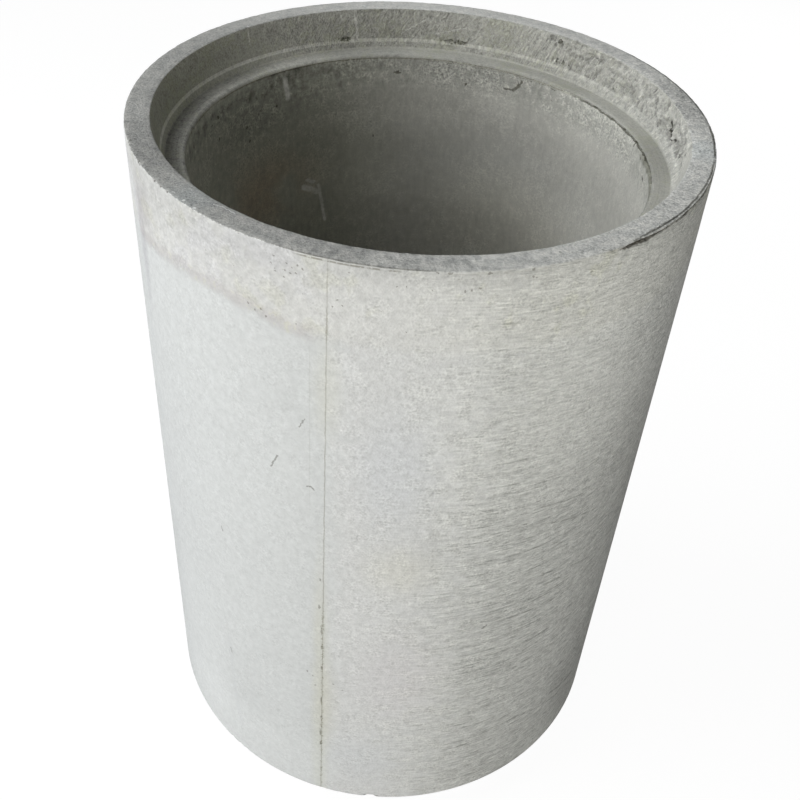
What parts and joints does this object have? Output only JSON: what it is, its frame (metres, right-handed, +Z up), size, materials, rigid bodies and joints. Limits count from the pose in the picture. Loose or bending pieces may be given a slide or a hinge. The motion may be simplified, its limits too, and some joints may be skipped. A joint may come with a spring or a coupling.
{
  "type": "concrete sewer pipe",
  "caption": "Straight round concrete pipe that carries sewage or storm water, with a socket inside the wall at its upper end and a spigot at its foot.",
  "frame": {"origin": "centre of the spigot's end face, on which the pipe stands", "axes": "+Z up the pipe's axis towards the socket; X and Y are across the pipe, and the mould seam of the visual model lies towards -Y"},
  "size_m": [0.74, 0.74, 1.08],
  "materials": {
    "concrete": "bare cast concrete, matt, smooth outside with pinholes and a mould seam, rough and porous inside the socket"
  },
  "bodies": {
    "root": {"pipe": "concrete"}
  },
  "joints": []
}
